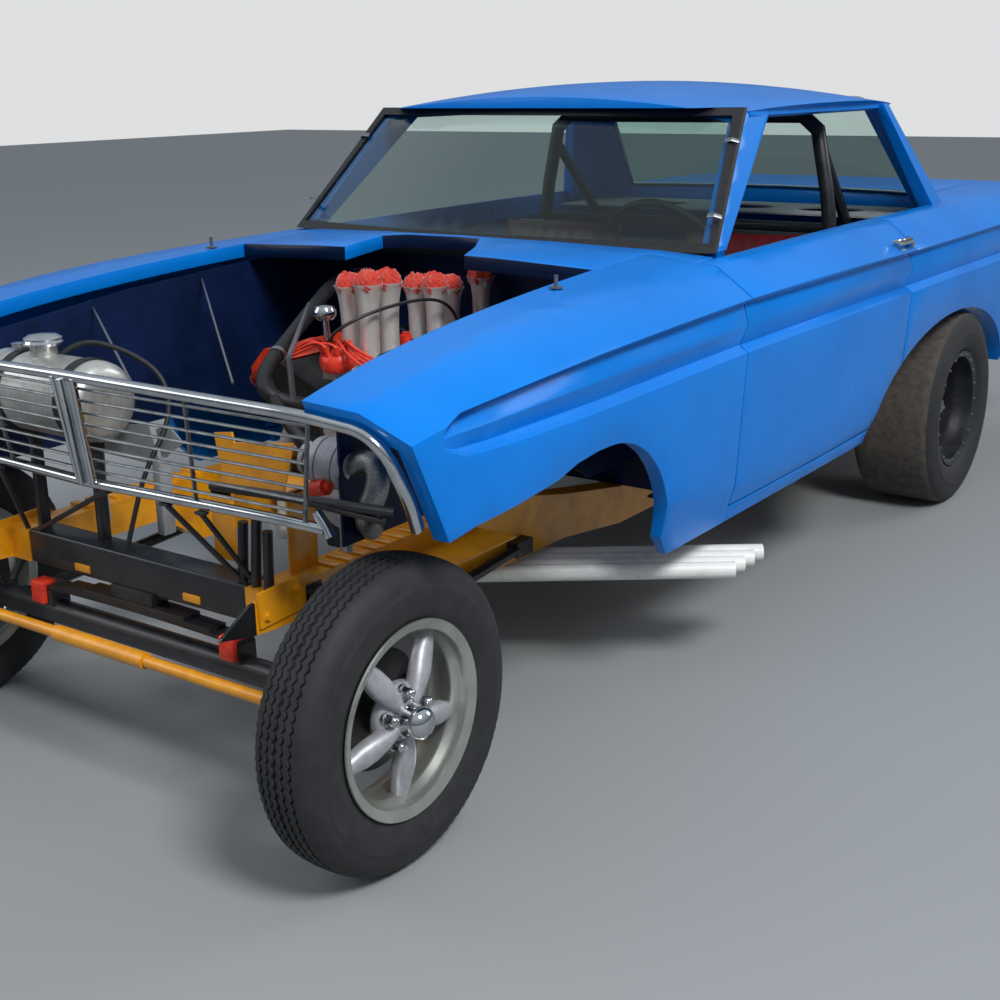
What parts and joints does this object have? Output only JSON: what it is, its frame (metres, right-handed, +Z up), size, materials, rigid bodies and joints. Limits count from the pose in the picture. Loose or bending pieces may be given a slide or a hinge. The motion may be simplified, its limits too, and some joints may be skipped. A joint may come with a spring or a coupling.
{
  "type": "two-door drag-strip compact car",
  "caption": "Straight-axle drag-strip compact car with no hood, open injected engine, opening doors and trunk lid, steered front wheels and wide rear tyres.",
  "frame": {"origin": "on the ground below the middle of the car's length, on its centre line", "axes": "+Z up, the car faces -Y, its left side is +X"},
  "size_m": [1.8264, 4.77, 1.5239],
  "materials": {
    "body_blue": "gloss",
    "dark_blue": "satin",
    "chassis_orange": "gloss",
    "black_paint": "satin",
    "black_rubber": "matt",
    "tyre": "matt",
    "glass": "clear",
    "chrome": "polished",
    "cast_alloy": "as cast",
    "tank_alloy": "spun and polished",
    "cast_iron": "painted black",
    "engine_red": "gloss",
    "white_coating": "satin",
    "dark_vinyl": "satin",
    "seat_vinyl": "satin",
    "grey_board": "matt",
    "red_lens": "gloss"
  },
  "bodies": {
    "car": {"fender_left": "body_blue", "fender_right": "body_blue", "quarter_left": "body_blue", "quarter_right": "body_blue", "sill_left": "body_blue", "sill_right": "body_blue", "cowl_panel": "body_blue", "tail_panel": "body_blue", "roof_panel": "body_blue", "windshield": "glass", "windshield_trim": "black_rubber", "rear_glass": "glass", "floor_pan": "dark_blue", "firewall": "dark_blue", "rear_shelf": "grey_board", "chassis_frame": "chassis_orange", "front_crossmember": "black_paint", "front_axle": "black_paint", "front_spring": "black_paint", "radius_rods": "black_paint", "front_shocks": "black_paint", "rear_axle": "black_paint", "rear_springs": "black_paint", "engine_block": "cast_iron", "engine_covers": "engine_red", "injection_stacks": "tank_alloy", "engine_front": "cast_alloy", "headers_left": "white_coating", "headers_right": "white_coating", "driveline": "cast_iron", "grille": "chrome", "fuel_tank": "tank_alloy", "roll_cage": "black_paint", "dash_panel": "dark_vinyl", "steering_wheel": "black_paint", "seats": "seat_vinyl", "rear_bumper": "chrome", "tail_lamps": "red_lens"},
    "door_left": {"door_left": "body_blue", "door_handle_left": "chrome"},
    "door_right": {"door_right": "body_blue", "door_handle_right": "chrome"},
    "trunk_lid": {"trunk_lid": "body_blue"},
    "knuckle_left": {"knuckle_left": "cast_iron"},
    "knuckle_right": {"knuckle_right": "cast_iron"},
    "tie_rod": {"tie_rod": "chassis_orange"},
    "front_wheel_left": {"front_wheel_left": "cast_alloy", "front_tyre_left": "tyre"},
    "front_wheel_right": {"front_wheel_right": "cast_alloy", "front_tyre_right": "tyre"},
    "rear_wheel_left": {"rear_wheel_left": "black_paint", "rear_tyre_left": "tyre"},
    "rear_wheel_right": {"rear_wheel_right": "black_paint", "rear_tyre_right": "tyre"}
  },
  "joints": [
    {"name": "left_door", "type": "hinge", "parent": "car", "child": "door_left", "pos_m": [0.908, -0.805, 0.7], "axis": [0, 0, -1], "range_deg": [0, 65]},
    {"name": "right_door", "type": "hinge", "parent": "car", "child": "door_right", "pos_m": [-0.908, -0.805, 0.7], "axis": [0, 0, 1], "range_deg": [0, 65]},
    {"name": "trunk_hinge", "type": "hinge", "parent": "car", "child": "trunk_lid", "pos_m": [0, 1.381, 1.107], "axis": [1, 0, 0], "range_deg": [0, 60]},
    {"name": "left_steer", "type": "hinge", "parent": "car", "child": "knuckle_left", "pos_m": [0.575, -2.058, 0.327], "axis": [0, 0, 1], "range_deg": [-28, 28]},
    {"name": "right_steer", "type": "hinge", "parent": "car", "child": "knuckle_right", "pos_m": [-0.575, -2.058, 0.327], "axis": [0, 0, 1], "range_deg": [-28, 28]},
    {"name": "tie_rod_pivot", "type": "hinge", "parent": "knuckle_left", "child": "tie_rod", "pos_m": [0.575, -2.179, 0.345], "axis": [0, 0, 1], "range_deg": [-28, 28]},
    {"name": "front_left_spin", "type": "hinge", "parent": "knuckle_left", "child": "front_wheel_left", "pos_m": [0.728, -2.058, 0.327], "axis": [1, 0, 0], "continuous": true},
    {"name": "front_right_spin", "type": "hinge", "parent": "knuckle_right", "child": "front_wheel_right", "pos_m": [-0.728, -2.058, 0.327], "axis": [1, 0, 0], "continuous": true},
    {"name": "rear_left_spin", "type": "hinge", "parent": "car", "child": "rear_wheel_left", "pos_m": [0.737, 1.05, 0.352], "axis": [1, 0, 0], "continuous": true},
    {"name": "rear_right_spin", "type": "hinge", "parent": "car", "child": "rear_wheel_right", "pos_m": [-0.737, 1.05, 0.352], "axis": [1, 0, 0], "continuous": true}
  ],
  "couplings": [
    {"joint": "right_steer", "follows": "left_steer", "ratio": 1},
    {"joint": "tie_rod_pivot", "follows": "left_steer", "ratio": -1}
  ]
}
